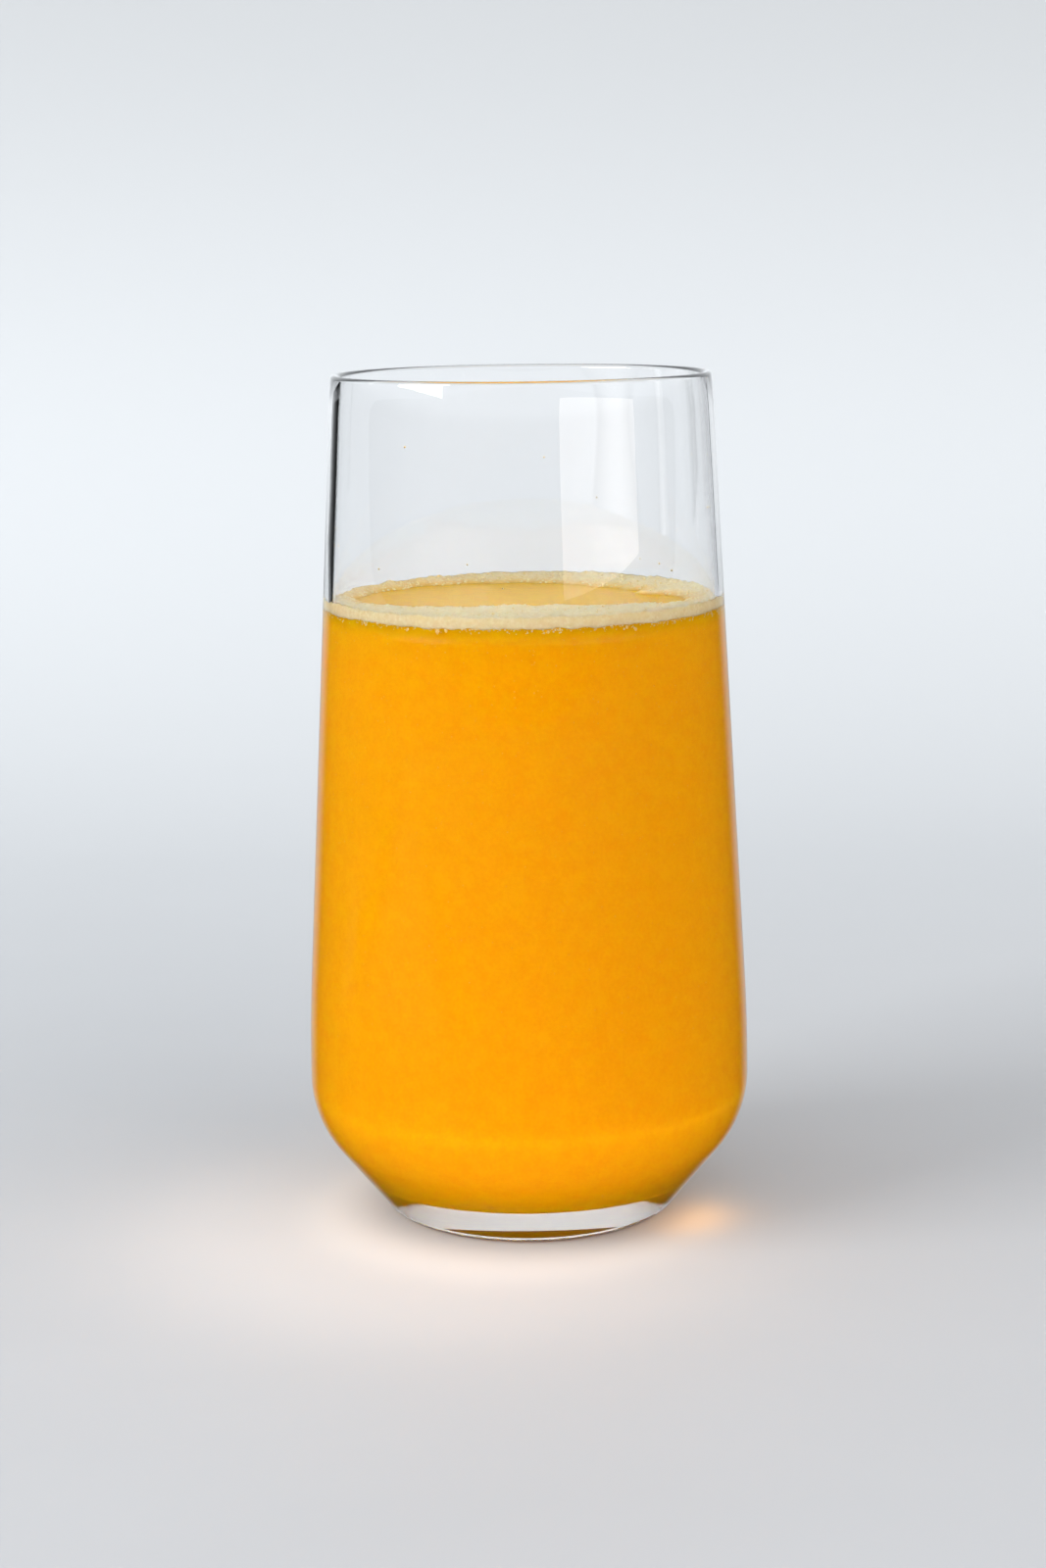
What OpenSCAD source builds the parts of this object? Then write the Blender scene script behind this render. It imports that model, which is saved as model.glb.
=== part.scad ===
// Glass of orange juice: a tall tumbler that is widest just above its foot, filled with
// juice, with a thin layer of foam on top. Millimetres, +Z up, origin at the centre of the
// foot's underside. +Y is the back, where the foam leaves part of the juice bare.
//
// Every outline is a chain of circles and of the straight lines that touch two of them,
// revolved about Z. The drink and its foam take their sides from the inside of the glass,
// so they always fill it.

/* [Glass] */
// Height of the glass, from the table to the top of the rim
glass_h = 145; // [125:1:175]
// Outside diameter at the rim
rim_d = 64.2; // [53:0.1:77]
// Outside diameter at the widest place, the belly
belly_d = 76.5; // [66:0.1:92]
// Height of the widest place above the table
belly_z = 23.7; // [20:0.1:29]
// Radius of the long curve that leads from the belly into the straight wall
belly_r = 320; // [250:5:400]
// Radius of the shoulder below the belly, outside
shoulder_r = 18.7; // [16:0.1:22]
// Thickness of the wall
wall = 1.5; // [1:0.1:2.2]

/* [Foot] */
// Diameter of the flat disc that stands on the table
foot_d = 45.2; // [38:0.1:54]
// Radius of the rounded edge of the foot
foot_r = 3.9; // [2.5:0.1:5]

/* [Inside of the bowl] */
// Thickness of the glass under the middle of the drink
base_t = 7.8; // [5:0.1:10]
// Radius of the corner between the floor and the side
corner_r = 6; // [4:0.1:8]
// Thickness of the glass between that corner and the outside
heel_t = 2.7; // [2:0.1:4]

/* [Drink] */
// Height of the juice above the table
juice_z = 106.2; // [60:0.1:120]
// Thickness of the foam
foam_t = 1.2; // [0.6:0.1:4]
// How far the foam climbs the glass at its edge
foam_climb = 0.6; // [0.2:0.1:1.5]
// Width of the foam's climbing edge
foam_climb_w = 3; // [1:0.1:5]

/* [Bare patch in the foam] */
// Width of the ring of foam between the patch and the glass, at the juice
ring_w = 4.6; // [3:0.1:12]
// Distance of the patch's straight front edge in front of the middle of the glass
patch_front = 3.5; // [-10:0.5:15]
// How much further the patch's round edge lies out at the top of the foam
patch_slope = 0.8; // [0:0.1:1.5]

/* [Hidden] */
$fn = 96;
// Steps in each arc of an outline
steps = 12;
// How far a cutting body passes the surface that it cuts
cut = 1;

// A circle of an outline is [centre, radius]. This is its point at angle t
function on(circle, t) = circle[0] + circle[1] * [cos(t), sin(t)];

// Points along a circle from angle a to angle b
function arc(circle, a, b) = [for (i = [0:steps]) on(circle, a + (b - a) * i / steps)];

// Angle of the normal where one straight line touches two circles on their outer side
function tangent_angle(lower, upper) =
    let (d = upper[0] - lower[0])
    atan2(d[1], d[0]) - acos((lower[1] - upper[1]) / norm(d));

function reversed(v) = [for (i = [len(v) - 1:-1:0]) v[i]];

// Circles of the outside
foot = [[foot_d / 2, foot_r], foot_r];
shoulder = [[belly_d / 2 - shoulder_r, belly_z], shoulder_r];
belly = [[belly_d / 2 - belly_r, belly_z], belly_r];
rim = [[rim_d / 2 - wall / 2, glass_h - wall / 2], wall / 2];

cone_angle = tangent_angle(foot, shoulder);
wall_angle = tangent_angle(belly, rim);

outside = concat(
    arc(foot, -90, cone_angle),
    arc(shoulder, cone_angle, 0),
    arc(belly, 0, wall_angle)
);

// The rim is fully rounded, from the outer wall over to the inner one
rim_round = arc(rim, wall_angle, 180 + wall_angle);

// Circles of the inside. The corner keeps the heel's thickness from the outer cone. The side
// is the one circle that stands upright at the belly and runs smoothly into the corner, which
// fixes its radius
cone_normal = [cos(cone_angle), sin(cone_angle)];
cone_reach = shoulder[0] * cone_normal + shoulder_r;
corner_z = base_t + corner_r;
corner_x = (cone_reach - heel_t - corner_r - corner_z * cone_normal[1]) / cone_normal[0];
corner = [[corner_x, corner_z], corner_r];
inner_belly_x = belly_d / 2 - wall;
reach_x = inner_belly_x - corner_x;
reach_z = belly_z - corner_z;
side_r = (reach_x ^ 2 + reach_z ^ 2 - corner_r ^ 2) / (2 * (reach_x - corner_r));
side = [[inner_belly_x - side_r, belly_z], side_r];
inner_belly = [belly[0], belly_r - wall];
side_angle = atan2(corner_z - belly_z, corner_x - side[0][0]);

// Inside of the glass, from the middle of its floor up to the rim
inside = concat(
    [[0, base_t]],
    arc(corner, -90, side_angle),
    arc(side, side_angle, 0),
    [for (i = [1:steps]) on(inner_belly, wall_angle * i / steps)],
    [rim_round[steps]]
);

// Radius of the inside at height z
function inside_r(z) = lookup(z, [for (p = inside) if (p[0] > 0) [p[1], p[0]]]);

foam_z = juice_z + foam_t;
lip_z = foam_z + foam_climb;
patch_r = inside_r(juice_z) - ring_w;

module glass() {
    color([0.86, 0.92, 0.94, 0.35])
        rotate_extrude()
            polygon(concat([[0, 0]], outside, rim_round, reversed(inside)));
}

module juice() {
    color([0.96, 0.64, 0.02])
        rotate_extrude()
            polygon(concat([for (p = inside) if (p[1] < juice_z) p],
                           [[inside_r(juice_z), juice_z], [0, juice_z]]));
}

// The foam before the patch is taken out: level in the middle, and curving up the glass at
// its edge by a quarter wave
module foam_layer() {
    edge = concat([[inside_r(juice_z), juice_z]],
                  [for (p = inside) if (p[1] > juice_z && p[1] < lip_z) p],
                  [[inside_r(lip_z), lip_z]]);
    lip = [for (i = [1:steps]) let (t = i / steps)
        [inside_r(lip_z) - foam_climb_w * t, lip_z - foam_climb * sin(90 * t)]];
    rotate_extrude()
        polygon(concat([[0, juice_z]], edge, lip, [[0, foam_z]]));
}

// The patch of bare juice: a round hole with a sloping side, with its front cut straight
module bare_patch() {
    taper = patch_slope / foam_t;
    difference() {
        translate([0, 0, juice_z - cut])
            cylinder(h = foam_t + 2 * cut, r1 = patch_r - cut * taper,
                     r2 = patch_r + (foam_t + cut) * taper);
        translate([-belly_d / 2, -belly_d - patch_front, juice_z - 2 * cut])
            cube([belly_d, belly_d, foam_t + 4 * cut]);
    }
}

module foam() {
    color([0.90, 0.82, 0.66])
        difference() {
            foam_layer();
            bare_patch();
        }
}

glass();
juice();
foam();
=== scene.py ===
# %% [markdown]
# # A glass of orange juice
#
# This lesson builds the looks of one drink: a tall clear tumbler, the juice that fills it,
# the thin foam on the juice and the small bubbles round its edge. The solid model comes
# first, as a fixed frame, and every piece here is measured against it.

import math

import bpy
import numpy as np
from mathutils import Matrix, Vector


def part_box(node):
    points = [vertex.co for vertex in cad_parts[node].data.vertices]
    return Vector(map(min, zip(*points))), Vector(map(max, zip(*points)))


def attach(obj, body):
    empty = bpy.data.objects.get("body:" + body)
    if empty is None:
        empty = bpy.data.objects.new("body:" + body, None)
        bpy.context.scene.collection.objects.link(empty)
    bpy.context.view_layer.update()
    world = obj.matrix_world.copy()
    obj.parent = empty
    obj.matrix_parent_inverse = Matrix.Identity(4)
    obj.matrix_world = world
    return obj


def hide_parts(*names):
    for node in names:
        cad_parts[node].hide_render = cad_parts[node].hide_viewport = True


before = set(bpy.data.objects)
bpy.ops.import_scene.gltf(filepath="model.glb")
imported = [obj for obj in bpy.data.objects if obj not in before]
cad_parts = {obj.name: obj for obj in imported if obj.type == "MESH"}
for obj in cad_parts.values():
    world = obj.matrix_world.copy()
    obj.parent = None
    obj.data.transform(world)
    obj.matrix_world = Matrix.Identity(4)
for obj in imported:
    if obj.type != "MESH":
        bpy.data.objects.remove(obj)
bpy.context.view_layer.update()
mm = 0.001

# %% [markdown]
# ## Sizes of the tumbler and its drink
#
# What the frame can tell is read from it: the height of the glass, its widest diameter, the
# floor and the level of the juice, and the top of the foam. The curves between those places
# are the tumbler's own sizes, in millimetres. Later a cell checks them against the frame.

# %% Sizes
glass_low, glass_high = [np.array(c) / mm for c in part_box("glass")]
juice_low, juice_high = [np.array(c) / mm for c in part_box("juice")]

glass_height = glass_high[2]
belly_diameter = glass_high[0] - glass_low[0]
floor_height = juice_low[2]
juice_level = juice_high[2]
foam_edge_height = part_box("foam")[1][2] / mm

rim_diameter = 64.2
wall = 1.5
belly_height = 23.7
belly_radius = 320.0
shoulder_radius = 18.7
foot_diameter = 45.2
foot_radius = 3.9
corner_radius = 6.0
heel = 2.7
foam_thickness = 1.2
print("height %.1f, belly %.1f, floor %.1f, level %.1f, foam edge %.1f mm"
      % (glass_height, belly_diameter, floor_height, juice_level, foam_edge_height))

# %% [markdown]
# ## The outline of the glass
#
# A blown tumbler's outline is a chain of circles and of straight lines that touch two of
# them. It could be drawn as a Bezier curve by hand, but circles that touch give exactly the
# smooth bends that a mould gives, and every one has a size that can be named.

# %% Circles and tangents
def arc(centre, radius, start, end, count):
    """Points of a circle: the centre plus the radius times (cosine, sine) of an angle that
    runs evenly from start to end, in degrees."""
    t = np.radians(np.linspace(start, end, count + 1))
    return np.stack([centre[0] + radius * np.cos(t), centre[1] + radius * np.sin(t)], -1)


def tangent_angle(lower, lower_r, upper, upper_r):
    """The angle of the normal where one line touches two circles: the direction between the
    centres, less the arccosine of the difference of radii over the distance."""
    dx, dz = upper[0] - lower[0], upper[1] - lower[1]
    return math.degrees(math.atan2(dz, dx) - math.acos((lower_r - upper_r) / math.hypot(dx, dz)))


def straight(a, b, count):
    """Points inside the line from a to b: a plus even shares of the way to b."""
    w = np.linspace(0, 1, count + 2)[1:-1, None]
    return np.asarray(a) + (np.asarray(b) - np.asarray(a)) * w


# %% Outside, rim and inside
foot_c = (foot_diameter / 2, foot_radius)
shoulder_c = (belly_diameter / 2 - shoulder_radius, belly_height)
belly_c = (belly_diameter / 2 - belly_radius, belly_height)
rim_c = (rim_diameter / 2 - wall / 2, glass_height - wall / 2)
cone = tangent_angle(foot_c, foot_radius, shoulder_c, shoulder_radius)
lean = tangent_angle(belly_c, belly_radius, rim_c, wall / 2)

outside = np.concatenate([
    [[0, 0]], straight((0, 0), (foot_diameter / 2, 0), 3),
    arc(foot_c, foot_radius, -90, cone, 16),
    arc(shoulder_c, shoulder_radius, cone, 0, 30),
    arc(belly_c, belly_radius, 0, lean, 30)[1:],
])
rim = arc(rim_c, wall / 2, lean, 180 + lean, 20)
outside = np.concatenate([outside, straight(outside[-1], rim[0], 16)])

cone_normal = np.array([math.cos(math.radians(cone)), math.sin(math.radians(cone))])
cone_reach = np.dot(shoulder_c, cone_normal) + shoulder_radius
corner_height = floor_height + corner_radius
corner_x = (cone_reach - heel - corner_radius - corner_height * cone_normal[1]) / cone_normal[0]
inner_belly = belly_diameter / 2 - wall
across, up = inner_belly - corner_x, belly_height - corner_height
side_radius = (across**2 + up**2 - corner_radius**2) / (2 * (across - corner_radius))
side_c = (inner_belly - side_radius, belly_height)
side_angle = math.degrees(math.atan2(-up, corner_x - side_c[0]))

inside = np.concatenate([
    [[0, floor_height]], straight((0, floor_height), (corner_x, floor_height), 4),
    arc((corner_x, corner_height), corner_radius, -90, side_angle, 18),
    arc(side_c, side_radius, side_angle, 0, 26)[1:],
    arc(belly_c, belly_radius - wall, 0, lean, 40)[1:],
])
inside = np.concatenate([inside, straight(inside[-1], rim[-1], 24), rim[-1:]])
print("side arc radius %.2f mm, wall leans %.2f degrees" % (side_radius, lean))


def inside_radius(height):
    """The radius of the inside at a height, read off the outline by straight lines between
    its points."""
    return np.interp(height, inside[:, 1], inside[:, 0])


# %% [markdown]
# ## Check the outline against the frame
#
# Each vertex of the solid glass has a radius and a height. Its distance to the nearest
# stretch of the outline says how far the outline is from the solid model. The few hundredths
# of a millimetre that are left come from the facets.

# %% Compare with the solid glass
def distance_to_outline(points, outline):
    """Least distance from each point to a chain of straight stretches: the foot of the
    perpendicular, kept between the stretch's two ends."""
    a, b = outline[:-1], outline[1:]
    along = b - a
    t = ((points[:, None] - a) * along).sum(-1) / (along**2).sum(-1)
    foot = a + along * np.clip(t, 0, 1)[..., None]
    return np.linalg.norm(points[:, None] - foot, axis=-1).min(1)


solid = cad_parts["glass"].data
xyz = np.empty(len(solid.vertices) * 3)
solid.vertices.foreach_get("co", xyz)
xyz = xyz.reshape(-1, 3) / mm
solid_points = np.stack([np.hypot(xyz[:, 0], xyz[:, 1]), xyz[:, 2]], -1)
outline = np.concatenate([outside, rim, inside[::-1][1:]])
off = distance_to_outline(solid_points, outline)
print("outline against the solid glass: largest distance %.3f mm" % off.max())

# %% [markdown]
# ## Turning an outline into a surface
#
# A glass is a surface of revolution. The Screw modifier could turn it, but computing the grid
# as arrays keeps the poles closed with one fan of triangles each, and every face points out.

# %% Revolve
def make_piece(name, points, faces, smooth=True):
    """A mesh object at the origin from an array of points in millimetres and its faces."""
    mesh = bpy.data.meshes.new(name)
    mesh.from_pydata((np.asarray(points) * mm).tolist(), [], faces)
    mesh.validate()
    if smooth:
        mesh.shade_smooth()
    piece = bpy.data.objects.new(name, mesh)
    bpy.context.collection.objects.link(piece)
    return piece


def grid_faces(rows, columns):
    """Quads of a grid that closes on itself across its columns."""
    i, j = np.meshgrid(np.arange(rows - 1), np.arange(columns), indexing="ij")
    k = (j + 1) % columns
    return np.stack([i * columns + j, i * columns + k,
                     (i + 1) * columns + k, (i + 1) * columns + j], -1).reshape(-1, 4)


def fan_faces(rows, columns):
    """Triangles that close both ends of such a grid onto two poles. The poles' points come
    after the grid's: first the one at its first row, then the one at its last row."""
    first = rows * columns
    j = np.arange(columns)
    k = (j + 1) % columns
    bottom = np.stack([np.full(columns, first), k, j], -1)
    top = np.stack([np.full(columns, first + 1), first - columns + j, first - columns + k], -1)
    return np.concatenate([bottom, top])


def revolve(name, profile, columns=224):
    """Each point (radius, height) of the profile goes round the axis: radius times (cosine,
    sine) of an even angle, at that height. Both ends lie on the axis and close in a fan."""
    ring = np.asarray(profile)[1:-1]
    t = np.linspace(0, 2 * np.pi, columns, endpoint=False)
    x, y = ring[:, :1] * np.cos(t), ring[:, :1] * np.sin(t)
    z = np.repeat(ring[:, 1:], columns, 1)
    points = np.concatenate([np.stack([x, y, z], -1).reshape(-1, 3),
                             [[0, 0, profile[0][1]], [0, 0, profile[-1][1]]]])
    return make_piece(name, points, grid_faces(len(ring), columns).tolist()
                      + fan_faces(len(ring), columns).tolist())


# %% [markdown]
# ## The tumbler
#
# One closed surface: the outside, the rounded rim and the inside. Because it is closed,
# light bends on the way in and again on the way out, as in real glass.

# %% Make the tumbler
tumbler = revolve("tumbler", outline)
print("tumbler:", len(tumbler.data.polygons), "faces")

# %% [markdown]
# ## The juice
#
# The drink fills the glass. If it stopped exactly at the inner wall, the render could show a
# film of air between them. So the piece follows the inside and stands a little way into the
# wall: every point moves along the outline's normal by `into_wall`.

# %% Make the juice
into_wall = 0.08
surface_points = 12
level_slack = 0.001


def pushed_out(profile, distance):
    """Each point moves by distance along the normal, which is the direction to the next
    points turned a quarter turn."""
    d = np.gradient(profile, axis=0)
    normal = np.stack([d[:, 1], -d[:, 0]], -1)
    return profile + distance * normal / np.linalg.norm(normal, axis=1)[:, None]


wetted = pushed_out(inside[inside[:, 1] < juice_level], into_wall)
wetted[0, 0] = 0
edge = inside_radius(juice_level) + into_wall
surface = np.stack([np.linspace(edge, 0, surface_points),
                    np.full(surface_points, juice_level)], -1)
juice = revolve("orange_juice", np.concatenate([wetted, surface]))
# Faces whose centre lies at the level are the free surface, which has a finish of its own
centres = np.empty(len(juice.data.polygons) * 3)
juice.data.polygons.foreach_get("center", centres)
free = (centres[2::3] / mm > juice_level - level_slack).astype(int)
juice.data.polygons.foreach_set("material_index", free)
print("juice:", len(free), "faces,", int(free.sum()), "on the free surface")

# %% [markdown]
# ## Smooth randomness
#
# Foam is never even. Adding plane waves in random directions gives a field that is smooth
# everywhere, needs no loop over points, and is the same at every run because it is seeded.

# %% A smooth random field
def field(x, y, size, seed, waves=24):
    """Mean of cosine waves in random directions, with lengths near size, scaled to about
    plus or minus 1."""
    dice = np.random.default_rng(seed)
    angle = dice.uniform(0, 2 * np.pi, waves)
    number = 2 * np.pi / (size * dice.uniform(0.7, 1.5, waves))
    phase = dice.uniform(0, 2 * np.pi, waves)
    total = np.zeros(np.shape(x))
    for a, n, p in zip(angle, number, phase):
        total = total + np.cos(n * (x * np.cos(a) + y * np.sin(a)) + p)
    return total * math.sqrt(2 / waves) / 1.6


def layered_field(x, y, layers):
    """Sum of smooth fields: each layer is an amount, a size and a seed, and adds its amount
    times its field."""
    return sum(amount * field(x, y, size, seed) for amount, size, seed in layers)


# %% [markdown]
# ## The foam
#
# The foam lies on the juice like a thin felt. It climbs the wall a little, and it leaves a
# bare patch with a ragged edge. A patch could be cut with a Boolean, but then the edge would
# be a knife cut. Here the foam is a grid between the patch's edge and the wall, and its
# height grows from nothing at the patch, so the edge thins out as real foam does.

# %% The bare patch
foam_rows, foam_columns = 84, 512
foam_into_wall = 0.12
narrowest_foam = 2.6
patch_centre = np.array([-1.0, 9.0])
# The patch's edge, as distances from its centre, round from the right towards the back
patch_reach = {5: 21.0, 40: 18.0, 70: 17.5, 105: 18.5, 135: 22.0, 160: 24.5, 190: 28.0,
               200: 29.0, 215: 26.0, 230: 23.0, 245: 19.0, 270: 17.0, 290: 19.0,
               315: 24.0, 330: 30.0, 340: 31.5, 352: 27.0}


def round_curve(stations, angle):
    """A smooth closed curve through the stations: a cosine step between neighbours."""
    keys = np.array(sorted(stations))
    values = np.array([stations[k] for k in keys])
    keys, values = np.append(keys, 360), np.append(values, values[0])
    i = np.clip(np.searchsorted(keys, angle, side="right") - 1, 0, len(keys) - 2)
    t = (angle - keys[i]) / (keys[i + 1] - keys[i])
    s = (1 - np.cos(np.pi * t)) / 2
    return values[i] * (1 - s) + values[i + 1] * s


turn = np.linspace(0, 360, foam_columns, endpoint=False)
way = np.stack([np.cos(np.radians(turn)), np.sin(np.radians(turn))], -1)
foam_radius = inside_radius(juice_level) + foam_into_wall
# Where a ray from the patch's centre meets the wall: the positive root of a quadratic
along = way @ patch_centre
reach_wall = -along + np.sqrt(along**2 - patch_centre @ patch_centre + foam_radius**2)
# Unevenness round the edge is read along a circle, so that it closes on itself
round_x, round_y = 30 * way.T
ragged = layered_field(round_x, round_y, ((0.9, 9.0, 3), (0.35, 2.5, 4)))
reach_patch = np.minimum(round_curve(patch_reach, turn) + ragged,
                         reach_wall - narrowest_foam)
print("bare patch: its edge is %.1f to %.1f mm from its centre"
      % (reach_patch.min(), reach_patch.max()))

# %% [markdown]
# Going out from the patch, the foam's top swells up in the first few millimetres, runs
# almost level with a fine relief, and climbs the glass in the last one. Its underside is
# level, but at the glass it hangs a little into the juice, unevenly. Each of these is an
# exponential of the distance from the patch or from the wall.

# %% Top and underside of the foam
swell_length, climb_length, hang_length = 2.2, 0.9, 1.2
level_share = 0.8
top_drop = 0.02
underside_depth = 0.12
mean_hang = 0.45

# Rows half evenly spaced and half eased, so they lie closer at the patch and at the wall
share = np.linspace(0, 1, foam_rows)
share = 0.5 * share + 0.5 * (1 - np.cos(np.pi * share)) / 2
reach = reach_patch + (reach_wall - reach_patch) * share[:, None]
foam_x = patch_centre[0] + reach * way[:, 0]
foam_y = patch_centre[1] + reach * way[:, 1]
from_wall = reach_wall - reach
swell = 1 - np.exp(-(reach - reach_patch) / swell_length)
climb = (foam_edge_height - juice_level - foam_thickness) * np.exp(-from_wall / climb_length)
relief = layered_field(foam_x, foam_y, ((0.16, 5.0, 7), (0.10, 1.6, 8), (0.05, 0.7, 9)))
top = juice_level + swell * (foam_thickness * level_share + relief) + climb * swell - top_drop
top = np.minimum(top, foam_edge_height)
hang = mean_hang + layered_field(round_x, round_y, ((0.16, 4.0, 11), (0.07, 1.2, 12)))
sunk = (juice_level - underside_depth
        - (hang - underside_depth) * np.exp(-from_wall / hang_length))
print("foam: top %.2f to %.2f mm, underside from %.2f mm" % (top.min(), top.max(), sunk.min()))

# %% [markdown]
# The sheet runs under the foam from the patch to the wall, up the wall, and back over the
# foam to the patch, where a last row of quads closes it. The wall leans in as it goes up, so
# the foam's edge follows it.

# %% Make the foam
wall_rows = 6
under = np.stack([foam_x, foam_y, sunk], -1)
over = np.stack([foam_x, foam_y, top], -1)
edge_way = over[-1, :, :2] / np.linalg.norm(over[-1, :, :2], axis=1)[:, None]
lean_in = inside_radius(top[-1]) - inside_radius(juice_level)
over[-1, :, :2] += lean_in[:, None] * edge_way
side_z = sunk[-1] + (top[-1] - sunk[-1]) * np.linspace(0, 1, wall_rows + 2)[1:-1, None]
side_r = foam_radius + inside_radius(side_z) - inside_radius(juice_level)
side = np.concatenate([side_r[..., None] * edge_way, side_z[..., None]], -1)
sheet = np.concatenate([under, side, over[::-1]])
j = np.arange(foam_columns)
k = (j + 1) % foam_columns
last = (len(sheet) - 1) * foam_columns
seam = np.stack([last + j, last + k, k, j], -1)
foam = make_piece("foam_layer", sheet.reshape(-1, 3),
                  np.concatenate([grid_faces(len(sheet), foam_columns), seam]).tolist())
# How thick the foam is at each point, for its colour
body = np.concatenate([swell, np.ones(side_z.shape), swell[::-1]]).ravel()
foam.data.attributes.new("thickness", "FLOAT", "POINT").data.foreach_set("value", body)
print("foam:", len(foam.data.polygons), "faces")

# %% [markdown]
# ## Bubbles, specks and droplets
#
# Hundreds of small round things share one low ball, with a few dozen faces. All copies of a
# kind are computed at once and make one piece, at their true size.

# %% A ball repeated
def balls(name, centres, radii):
    """One low ball at every centre, scaled by its radius: the ball's points times the radius
    plus the centre, as one array."""
    rings, around = 5, 8
    lat = np.radians(np.linspace(-90, 90, rings + 2))[1:-1]
    lon = np.linspace(0, 2 * np.pi, around, endpoint=False)
    ball = np.stack([np.cos(lat)[:, None] * np.cos(lon), np.cos(lat)[:, None] * np.sin(lon),
                     np.repeat(np.sin(lat)[:, None], around, 1)], -1).reshape(-1, 3)
    ball = np.concatenate([ball, [[0, 0, -1], [0, 0, 1]]])
    points = ball[None] * np.asarray(radii)[:, None, None] + np.asarray(centres)[:, None]
    start = (np.arange(len(centres)) * len(ball))[:, None, None]
    faces = ((grid_faces(rings, around)[None] + start).reshape(-1, 4).tolist()
             + (fan_faces(rings, around)[None] + start).reshape(-1, 3).tolist())
    return make_piece(name, points.reshape(-1, 3), faces)


dice = np.random.default_rng(21)


def balls_on_wall(name, size, height, depth):
    """Balls on the inside wall: each centre is at the wall's radius at its height, less its
    depth, times (cosine, sine) of a random angle."""
    angle = dice.uniform(0, 2 * np.pi, len(size))
    r = inside_radius(height) - depth
    centres = np.stack([r * np.cos(angle), r * np.sin(angle), height], -1)
    return balls(name, centres, size)


# %% Bubbles under the foam's edge, along the glass
size = 0.07 + 0.16 * dice.random(900)**2
height = juice_level - 0.3 - 0.9 * dice.random(len(size))**2
edge_bubbles = balls_on_wall("edge_bubbles", size, height, 0.55 * size - into_wall)
size = dice.uniform(0.3, 0.55, 46)
height = juice_level - 0.3 - 1.0 * dice.random(len(size))
large_bubbles = balls_on_wall("large_bubbles", size, height, 0.75 * size - into_wall)

# %% Pulp specks at the wall, thickest near the top
size = dice.uniform(0.10, 0.26, 1500)
height = juice_level - 2 - 70 * dice.random(len(size))**1.7
pulp_specks = balls_on_wall("pulp_specks", size, height, 0.75 * size - into_wall)

# %% Bubbles on top of the foam and droplets left on the wall
foam_bubble_count = 700
i = dice.integers(6, foam_rows - 2, foam_bubble_count)
j = dice.integers(0, foam_columns, foam_bubble_count)
size = dice.uniform(0.10, 0.34, foam_bubble_count)
spots = np.stack([foam_x[i, j], foam_y[i, j], top[i, j] - 0.35 * size], -1)
foam_bubbles = balls("foam_bubbles", spots, size)
size = dice.uniform(0.08, 0.2, 16)
height = foam_edge_height + 1 + 26 * dice.random(len(size))**1.6
wall_droplets = balls_on_wall("wall_droplets", size, height, 0.35 * size)
for piece in (edge_bubbles, large_bubbles, pulp_specks, foam_bubbles, wall_droplets):
    print(piece.name, len(piece.data.polygons), "faces")


# %% [markdown]
# ## Working with shader nodes
#
# Most finishes come down to three steps: carry a value onto another range, combine two
# values, and run from one colour to another. Each is a small helper, so that a finish below
# reads as what it does and not as a list of sockets.

# %% Helpers for nodes
def ramp(tree, value, low, high, start=0.0, end=1.0, kind="SMOOTHSTEP"):
    """The value carried from low and high onto start and end, and held beyond them: by a
    smooth step, or evenly with kind LINEAR."""
    node = tree.nodes.new("ShaderNodeMapRange")
    node.interpolation_type = kind
    for socket, number in (("From Min", low), ("From Max", high),
                           ("To Min", start), ("To Max", end)):
        node.inputs[socket].default_value = number
    tree.links.new(value, node.inputs["Value"])
    return node.outputs[0]


def combine(tree, operation, a, b):
    """Two values put together, as by ADD, MULTIPLY or MAXIMUM. Each is a number or a
    socket."""
    node = tree.nodes.new("ShaderNodeMath")
    node.operation = operation
    for i, value in enumerate((a, b)):
        if isinstance(value, float):
            node.inputs[i].default_value = value
        else:
            tree.links.new(value, node.inputs[i])
    return node.outputs[0]


def blend(tree, factor, a, b):
    """A colour that runs from a to b with the factor. Each end is a plain colour or a
    socket."""
    mix = tree.nodes.new("ShaderNodeMix")
    mix.data_type = "RGBA"
    tree.links.new(factor, mix.inputs["Factor"])
    for name, colour in (("A", a), ("B", b)):
        if isinstance(colour, tuple):
            mix.inputs[name].default_value = (*colour, 1)
        else:
            tree.links.new(colour, mix.inputs[name])
    return mix.outputs["Result"]


def attribute(tree, name):
    """The value that a piece's own mesh holds at each point under this name."""
    node = tree.nodes.new("ShaderNodeAttribute")
    node.attribute_name = name
    return node.outputs["Fac"]


# %% [markdown]
# ## Shared effects
#
# Two effects serve several materials. `pulp_cloud` gives juice its faint mottling, and
# `bubble_grain` gives foam its fine cells. Each is one node group that puts out a mask and,
# for the foam, a height, and each material uses them with its own values.

# %% Node groups
def new_group(name, inputs, outputs):
    """A shader node group with float inputs and outputs, its nodes empty but for the ends."""
    group = bpy.data.node_groups.new(name, "ShaderNodeTree")
    for socket, value in inputs.items():
        s = group.interface.new_socket(socket, in_out="INPUT", socket_type="NodeSocketFloat")
        s.default_value = value
    for socket in outputs:
        group.interface.new_socket(socket, in_out="OUTPUT", socket_type="NodeSocketFloat")
    return group, group.nodes.new("NodeGroupInput"), group.nodes.new("NodeGroupOutput")


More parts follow.
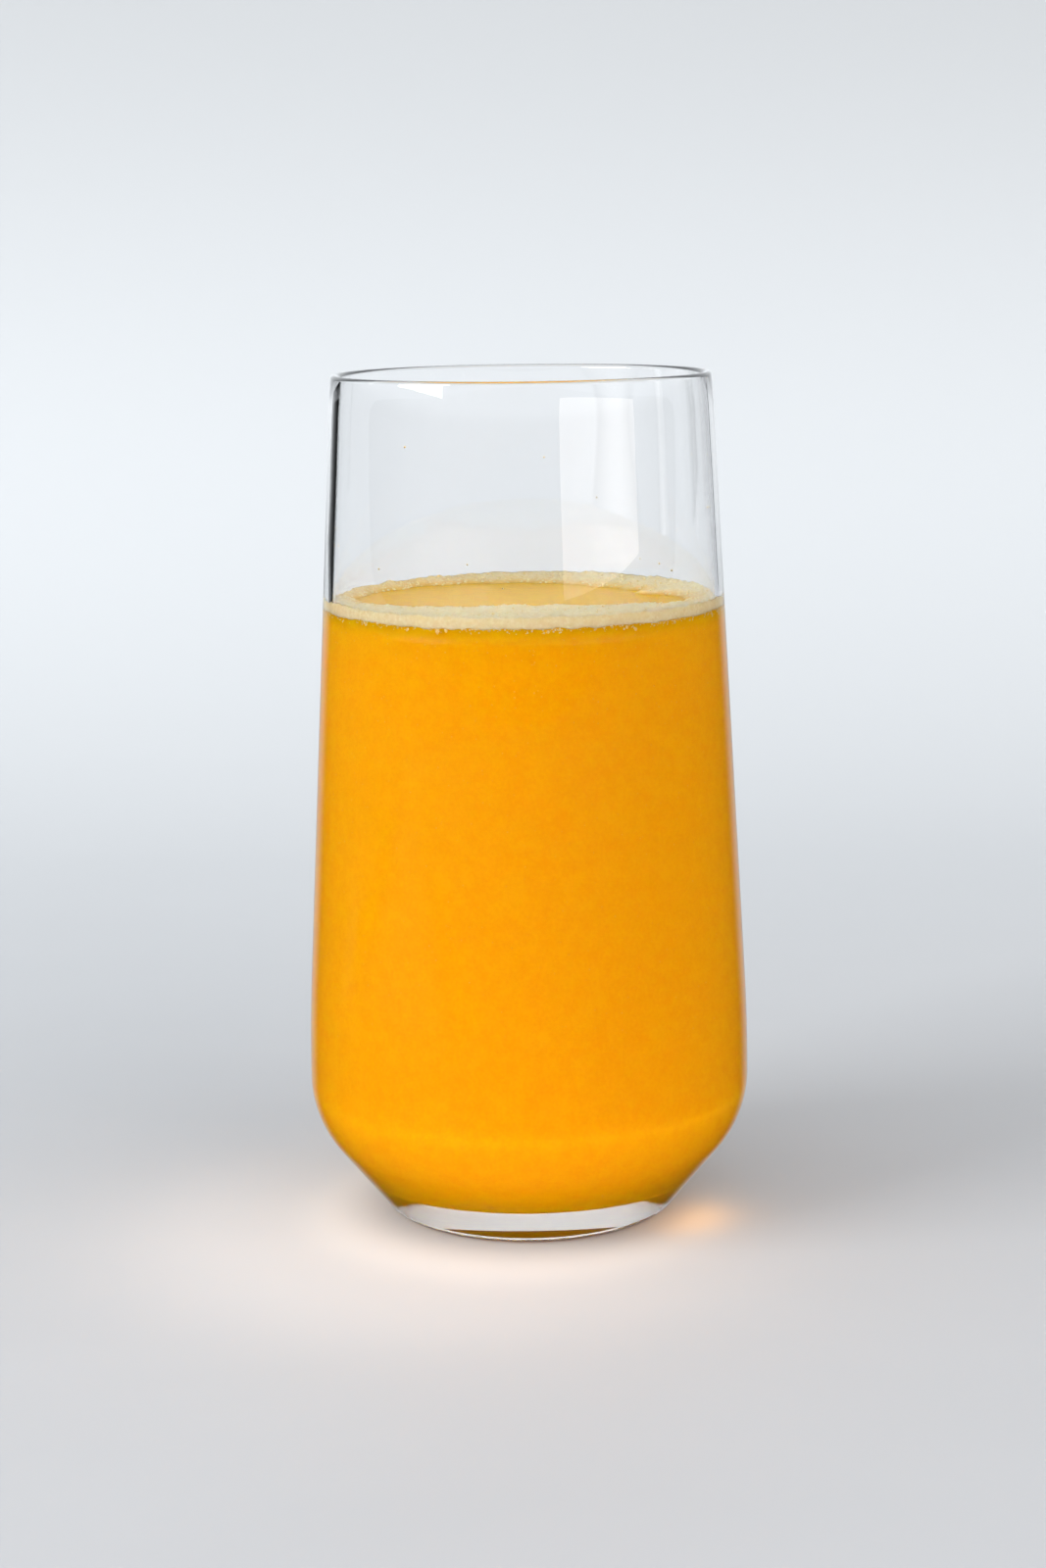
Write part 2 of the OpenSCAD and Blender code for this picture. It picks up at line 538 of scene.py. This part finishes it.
def pulp_cloud():
    """The sum of a broad and a fine noise, with its middle stretched to run from 0 to 1."""
    group, start, end = new_group("pulp_cloud", {"Scale": 300.0, "Fine Scale": 1400.0}, ["Mask"])
    add, link = group.nodes.new, group.links.new
    place = add("ShaderNodeTexCoord")
    broad, fine = add("ShaderNodeTexNoise"), add("ShaderNodeTexNoise")
    for noise, socket, detail in ((broad, "Scale", 4), (fine, "Fine Scale", 2)):
        noise.inputs["Detail"].default_value = detail
        link(place.outputs["Object"], noise.inputs["Vector"])
        link(start.outputs[socket], noise.inputs["Scale"])
    both = combine(group, "ADD", broad.outputs["Fac"], fine.outputs["Fac"])
    link(ramp(group, both, 0.75, 1.25, kind="LINEAR"), end.inputs["Mask"])
    return group


def bubble_grain():
    """Soft cells: each has a random tone of its own, and a height that falls from its middle
    to its edge."""
    group, start, end = new_group("bubble_grain", {"Scale": 2200.0}, ["Mask", "Height"])
    add, link = group.nodes.new, group.links.new
    place, cells = add("ShaderNodeTexCoord"), add("ShaderNodeTexVoronoi")
    cells.feature = "SMOOTH_F1"
    link(place.outputs["Object"], cells.inputs["Vector"])
    link(start.outputs["Scale"], cells.inputs["Scale"])
    tone = add("ShaderNodeSeparateColor")
    link(cells.outputs["Color"], tone.inputs[0])
    link(tone.outputs[0], end.inputs["Mask"])
    dome = ramp(group, cells.outputs["Distance"], 0.0, 0.6, 1.0, 0.0, kind="LINEAR")
    link(dome, end.inputs["Height"])
    return group


pulp_group, grain_group = pulp_cloud(), bubble_grain()
print("node groups:", pulp_group.name, grain_group.name)


# %% [markdown]
# ## Materials
#
# The glass is clear and slightly wavy. The juice needs two finishes on one piece. Its side
# and floor meet glass, so there the step is from 1.52 to 1.35, a ratio of 0.888. With that
# ratio the underside turns into a mirror at low angles, which is what puts the bright lens
# into the thick base. Its top meets air and could take 1.35 as well, but a film of fine
# froth lies on it and dulls it, so a weaker 1.14 is set there.

# %% Helpers for materials
def material(name, **values):
    """A material whose Principled shader has these plain values, named as its sockets are."""
    made = bpy.data.materials.new(name)
    made.use_nodes = True
    shader = made.node_tree.nodes["Principled BSDF"]
    for socket, value in values.items():
        shader.inputs[socket.replace("_", " ")].default_value = value
    return made, made.node_tree, shader


def place_group(tree, group, **values):
    """A node group placed in a material with its own values, named as its inputs are."""
    node = tree.nodes.new("ShaderNodeGroup")
    node.node_tree = group
    for socket, value in values.items():
        node.inputs[socket.replace("_", " ")].default_value = value
    return node


def bump(tree, shader, height, strength, distance):
    """The shader's normal tilts with the slope of height, which is distance metres high."""
    node = tree.nodes.new("ShaderNodeBump")
    node.inputs["Strength"].default_value = strength
    node.inputs["Distance"].default_value = distance
    tree.links.new(height, node.inputs["Height"])
    tree.links.new(node.outputs["Normal"], shader.inputs["Normal"])


# %% Clear glass
glass_index, juice_index = 1.52, 1.35
glass_mat, tree, shader = material("clear_glass", Base_Color=(1, 1, 1, 1), Roughness=0.0,
                                   IOR=glass_index, Transmission_Weight=1.0)
place = tree.nodes.new("ShaderNodeTexCoord")
waves = tree.nodes.new("ShaderNodeTexNoise")
waves.inputs["Scale"].default_value = 35
waves.inputs["Detail"].default_value = 1
tree.links.new(place.outputs["Object"], waves.inputs["Vector"])
bump(tree, shader, waves.outputs["Fac"], 0.25, 0.0002)

# %% Juice against the glass, and juice under the air
wetted_ratio = round(juice_index / glass_index, 3)
froth_film_index = 1.14
juice_mats = []
for name, ior, roughness in (("juice_at_glass", wetted_ratio, 0.0),
                             ("juice_surface", froth_film_index, 0.15)):
    made, tree, shader = material(name, Roughness=roughness, IOR=ior, Subsurface_Weight=1.0,
                                  Subsurface_Radius=(1.0, 0.8, 0.04), Subsurface_Scale=0.008)
    cloud = place_group(tree, pulp_group, Scale=420.0, Fine_Scale=1800.0).outputs["Mask"]
    tree.links.new(blend(tree, cloud, (0.955, 0.435, 0.0005), (0.99, 0.50, 0.001)),
                   shader.inputs["Base Color"])
    if name == "juice_surface":
        bump(tree, shader, cloud, 0.4, 0.0002)
    juice_mats.append(made)
print("juice: ratio %.3f at the glass, %.2f under the air" % (wetted_ratio, froth_film_index))

# %% [markdown]
# Where the foam thins out, the juice shows through it, so its colour turns to the juice's
# there. Real foam also passes light on to the juice. Here it stays solid to the eye, but
# light that has already been scattered, or that looks for a lamp, goes about half through.

# %% Foam
light_held_back = 0.45
foam_mat, tree, shader = material("juice_foam", Roughness=0.5, IOR=1.3, Subsurface_Weight=0.6,
                                  Subsurface_Radius=(1.0, 0.7, 0.35), Subsurface_Scale=0.002)
grain = place_group(tree, grain_group, Scale=2300.0)
cream = blend(tree, grain.outputs["Mask"], (0.87, 0.68, 0.37), (0.98, 0.83, 0.56))
foam_colour = blend(tree, attribute(tree, "thickness"), (0.88, 0.46, 0.07), cream)
tree.links.new(foam_colour, shader.inputs["Base Color"])
bump(tree, shader, grain.outputs["Height"], 0.4, 0.00012)
path = tree.nodes.new("ShaderNodeLightPath").outputs
either = combine(tree, "MAXIMUM", path["Is Diffuse Ray"], path["Is Shadow Ray"])
tree.links.new(ramp(tree, either, 0.0, 1.0, 1.0, light_held_back, kind="LINEAR"),
               shader.inputs["Alpha"])


# %% Bubbles, specks and droplets
def clouded(name, roughness, ior, scales, dark, light):
    """A finish whose colour runs from dark to light with the pulp cloud."""
    made, tree, shader = material(name, Roughness=roughness, IOR=ior)
    cloud = place_group(tree, pulp_group, Scale=scales[0], Fine_Scale=scales[1])
    tree.links.new(blend(tree, cloud.outputs["Mask"], dark, light), shader.inputs["Base Color"])
    return made


froth_mat = clouded("froth_bead", 0.3, 1.2, (900.0, 3000.0), (0.90, 0.66, 0.26),
                    (0.96, 0.82, 0.50))
bubble_mat = clouded("bubble_skin", 0.15, 1.35, (900.0, 3000.0), (0.86, 0.50, 0.10),
                     (0.92, 0.66, 0.26))
speck_mat = clouded("pulp_speck", 0.3, 0.92, (700.0, 2600.0), (0.93, 0.42, 0.01),
                    (0.97, 0.55, 0.06))

# %% Give every piece its material
tumbler.data.materials.append(glass_mat)
for made in juice_mats:
    juice.data.materials.append(made)
foam.data.materials.append(foam_mat)
for piece in (foam_bubbles, wall_droplets, edge_bubbles):
    piece.data.materials.append(froth_mat)
large_bubbles.data.materials.append(bubble_mat)
pulp_specks.data.materials.append(speck_mat)
print("materials:", [m.name for m in bpy.data.materials if m.users])

# %% [markdown]
# ## The table and the sweep behind it
#
# A studio sweep is one sheet of paper that lies flat and then curves up, so no line shows
# behind the glass. It is a profile carried straight across. A background lamp usually lights
# its far part; here the paper is paler there, which gives the same look with less noise.

# %% Make the sweep
def sweep(name, profile, half_width):
    """The profile (y, z) at two x, joined by quads: a sheet in metres."""
    profile = np.asarray(profile)
    n = len(profile)
    points = np.concatenate([np.column_stack([np.full(n, side), profile])
                             for side in (-half_width, half_width)])
    i = np.arange(n - 1)
    faces = np.stack([i, i + n, i + n + 1, i + 1], -1).tolist()
    return make_piece(name, points / mm, faces)


bend, bend_start = 0.6, 0.28
front_edge, top_edge, half_width = -1.6, 2.6, 2.5
# The paper lies a twentieth of a millimetre low, so it never coincides with the foot
paper_drop = 0.05 * mm
turned = arc((bend_start, bend), bend, -90, 0, 40)
profile = np.concatenate([[[front_edge, 0]], turned,
                          [[bend_start + bend, top_edge]]]) - [0, paper_drop]
table = sweep("studio_sweep", profile, half_width)
print("sweep:", len(table.data.polygons), "faces, paper at %.2f mm" % (-paper_drop / mm))

# %% Paper with painted lamp light towards the back
table_mat, tree, shader = material("warm_paper", Roughness=0.7)
fibre = tree.nodes.new("ShaderNodeTexNoise")
fibre.inputs["Scale"].default_value = 60
where = tree.nodes.new("ShaderNodeTexCoord")
part = tree.nodes.new("ShaderNodeSeparateXYZ")
tree.links.new(where.outputs["Object"], part.inputs[0])
near_paper = blend(tree, fibre.outputs["Fac"], (0.385, 0.395, 0.41), (0.405, 0.415, 0.43))
# Painted light: the far paper is paler than the near paper, as a background lamp would light it,
# and darker higher up the sweep, as that lamp's light falls off
far_paper = blend(tree, ramp(tree, part.outputs["Z"], 0.05, 0.30),
                  (0.570, 0.592, 0.610), (0.465, 0.480, 0.492))
paper = blend(tree, ramp(tree, part.outputs["Y"], -0.06, 0.62), near_paper, far_paper)
tree.links.new(paper, shader.inputs["Base Color"])
table.data.materials.append(table_mat)
table.visible_glossy = False

# %% [markdown]
# ## Light
#
# A pale drink wants large soft light. The sky is bright, but dark low down all round except
# at the back, as in a studio with dark flags, so that no veil of white lies over the juice
# and it keeps its full colour. Seen straight on, or straight through clear glass, it is as
# pale as the paper all round. A ray is straight while it has been neither mirrored nor
# scattered.

# %% Sky
world = bpy.data.worlds.new("studio")
bpy.context.scene.world = world
world.use_nodes = True
tree = world.node_tree
sky = tree.nodes["Background"]
sky.inputs["Color"].default_value = (0.92, 0.96, 1.0, 1)
way_out = tree.nodes.new("ShaderNodeTexCoord")
split = tree.nodes.new("ShaderNodeSeparateXYZ")
tree.links.new(way_out.outputs["Generated"], split.inputs[0])
# Y of the way out is 1 straight to the back, and Z is 0 at the horizon
not_at_back = ramp(tree, split.outputs["Y"], 0.975, 0.75)
low_down = ramp(tree, split.outputs["Z"], 0.10, 0.02)
flagged = combine(tree, "MULTIPLY", not_at_back, low_down)
below = ramp(tree, split.outputs["Z"], -0.02, -0.14, 1.0, 0.4)
lit = combine(tree, "MULTIPLY", ramp(tree, flagged, 0.0, 1.0, 1.0, 0.02), below)

path = tree.nodes.new("ShaderNodeLightPath").outputs
bounces = combine(tree, "ADD", path["Glossy Depth"], path["Diffuse Depth"])
straight_ray = ramp(tree, bounces, 0.0, 1.0, 1.0, 0.0)
by_eye = combine(tree, "MAXIMUM", path["Is Camera Ray"], path["Is Transmission Ray"])
strength = tree.nodes.new("ShaderNodeMix")
tree.links.new(combine(tree, "MULTIPLY", by_eye, straight_ray), strength.inputs["Factor"])
tree.links.new(combine(tree, "MULTIPLY", lit, 1.24), strength.inputs["A"])
strength.inputs["B"].default_value = 0.84
tree.links.new(strength.outputs["Result"], sky.inputs["Strength"])
print("sky:", len(tree.nodes), "nodes")

# %% [markdown]
# A big soft key on the left makes the shadow, and its lower edge is what the front of the
# glass mirrors just under the rim. A larger, slightly warm fill stands at the front right. A
# third lamp lies just above the table in front and sends warm light up under the belly of
# the glass, as the lit table does.

# %% Key, fill and bounce
def area_light(name, place, size, power, target=(0, 0, 0.07)):
    """A rectangle of light at place, in metres, that faces target."""
    light = bpy.data.lights.new(name, "AREA")
    light.shape = "RECTANGLE"
    light.size, light.size_y = size
    light.energy = power
    lamp = bpy.data.objects.new(name, light)
    bpy.context.collection.objects.link(lamp)
    lamp.location = place
    aim = Vector(target) - Vector(place)
    lamp.rotation_euler = aim.to_track_quat("-Z", "Y").to_euler()
    return lamp


key_way, key_distance = np.array([-0.88, -0.47]), 1.1
key = area_light("key", (*(key_way * key_distance), 0.545), (0.66, 0.62), 13.3, (0, 0, 0.12))
fill = area_light("fill", (0.85, -0.80, 0.55), (1.2, 1.0), 10.4)
fill.data.color = (1.0, 0.88, 0.79)
fill.visible_glossy = False
bounce = area_light("bounce", (-0.004, -0.070, 0.002), (0.15, 0.07), 0.036, (-0.004, -0.071, 1))
bounce.data.color = (1.0, 0.62, 0.20)
bounce.visible_camera = bounce.visible_glossy = False
for lamp in (key, fill, bounce):
    print(lamp.name, "%.3f W" % lamp.data.energy)

# %% [markdown]
# Light that has passed through the drink glows on the table round the foot. Following it
# through the glass is slow and grainy, so three small lamps just above the table stand in.

# %% Glow round the foot
def foot_glow(name, place, diameter, power, colour):
    """A disc of light at place, in metres, that faces straight down and isn't seen itself."""
    lamp = area_light(name, place, (diameter, diameter), power, (*place[:2], 0))
    lamp.data.shape = "DISK"
    lamp.data.color = colour
    lamp.visible_camera = lamp.visible_glossy = lamp.visible_transmission = False
    print(name, "%.4f W" % power)


foot_glow("glow_wide", (-0.014, -0.016, 0.022), 0.104, 0.022, (1.0, 0.82, 0.68))
foot_glow("glow_close", (-0.003, -0.006, 0.007), 0.072, 0.012, (1.0, 0.82, 0.66))
foot_glow("glow_away_from_key", (0.0240, -0.011, 0.006), 0.018, 0.0024, (1.0, 0.40, 0.0))

# %% [markdown]
# Lit strips of table make the soft upright streaks on the far wall, and dark cards make the
# dark lines down its sides. Both are seen only through the glass, so they don't show on its
# outside or on the juice.

# %% Lit strips and dark cards
def only_through_glass(card):
    """A stage piece that only rays which have passed through glass can see."""
    card.visible_camera = card.visible_diffuse = card.visible_glossy = False
    card.visible_shadow = False


patch_height = 0.001


def lit_patch(name, heading, near, far, width, strength):
    """A strip flat on the table, from near to far along a heading in degrees left of the
    camera's side. Its light fades towards its long edges as a half sine."""
    a = math.radians(heading)
    out = np.array([-math.sin(a), -math.cos(a)])
    across = np.array([out[1], -out[0]]) * width
    share = np.linspace(0, 1, 17)
    offset = (share - 0.5)[:, None] * across
    corners = np.concatenate([out * near + offset, out * far + offset])
    n = len(share)
    i = np.arange(n - 1)
    patch = make_piece(name, np.column_stack([corners, np.full(2 * n, patch_height)]) / mm,
                       np.stack([i, i + 1, i + 1 + n, i + n], -1).tolist())
    fade = np.tile(np.sin(np.pi * share), 2)
    patch.data.attributes.new("fade", "FLOAT", "POINT").data.foreach_set("value", fade)
    made, tree, glow = material(name, Base_Color=(0, 0, 0, 1), Specular_IOR_Level=0,
                                Emission_Color=(1, 1, 1, 1))
    tree.links.new(combine(tree, "MULTIPLY", attribute(tree, "fade"), strength),
                   glow.inputs["Emission Strength"])
    patch.data.materials.append(made)
    only_through_glass(patch)


lit_patch("broad_patch", 65, 0.22, 1.0, 0.36, 1.7)
lit_patch("narrow_patch", 104, 0.22, 1.0, 0.09, 2.2)


def dark_card(name, left, right, low=-0.02, high=0.12, away=0.6):
    """An upright black card behind the glass, from left to right in degrees round from the
    far side, low to high in metres, at a distance away from the axis."""
    t = np.radians([left, right])
    x, y = away * np.sin(t), away * np.cos(t)
    corners = [[x[i], y[i], z] for i, z in ((0, low), (1, low), (1, high), (0, high))]
    card = make_piece(name, np.array(corners) / mm, [[0, 1, 2, 3]], smooth=False)
    card.data.materials.append(material(name, Base_Color=(0.004, 0.004, 0.004, 1),
                                        Roughness=0.9, Specular_IOR_Level=0)[0])
    only_through_glass(card)


dark_card("dark_card_left", -39, -23)
dark_card("dark_card_right", 28.6, 30.4)

# %% [markdown]
# ## Camera
#
# A 67 mm lens half a metre away, about 2 cm above the rim, looking down eleven degrees.

# %% Make the camera
distance, camera_height = 0.4964, 0.16797
tilt_down, roll, turn_left = 10.666, -0.711, -0.058
lens = bpy.data.cameras.new("camera")
lens.lens = 67.15
lens.sensor_width = 36
camera = bpy.data.objects.new("camera", lens)
bpy.context.collection.objects.link(camera)
camera.matrix_world = (Matrix.Translation((0, -distance, camera_height))
                       @ Matrix.Rotation(math.radians(-turn_left), 4, "Z")
                       @ Matrix.Rotation(math.radians(90 - tilt_down), 4, "X")
                       @ Matrix.Rotation(math.radians(roll), 4, "Z"))
bpy.context.scene.camera = camera
bpy.context.scene.view_settings.view_transform = "Standard"
print("camera: %.0f mm away, %.0f mm up" % (distance / mm, camera_height / mm))

# %% [markdown]
# ## Hand the pieces to the frame
#
# Each piece rides on the one body, and the frame's solid glass, juice and foam are hidden.

# %% Ride, and hide the solids
pieces = {tumbler: "clear_glass", juice: "orange_juice", foam: "juice_foam",
          edge_bubbles: "juice_foam", large_bubbles: "orange_juice",
          pulp_specks: "orange_juice", foam_bubbles: "juice_foam",
          wall_droplets: "juice_foam"}
for piece, finish in pieces.items():
    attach(piece, "root")
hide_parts("glass")
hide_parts("juice")
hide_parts("foam")
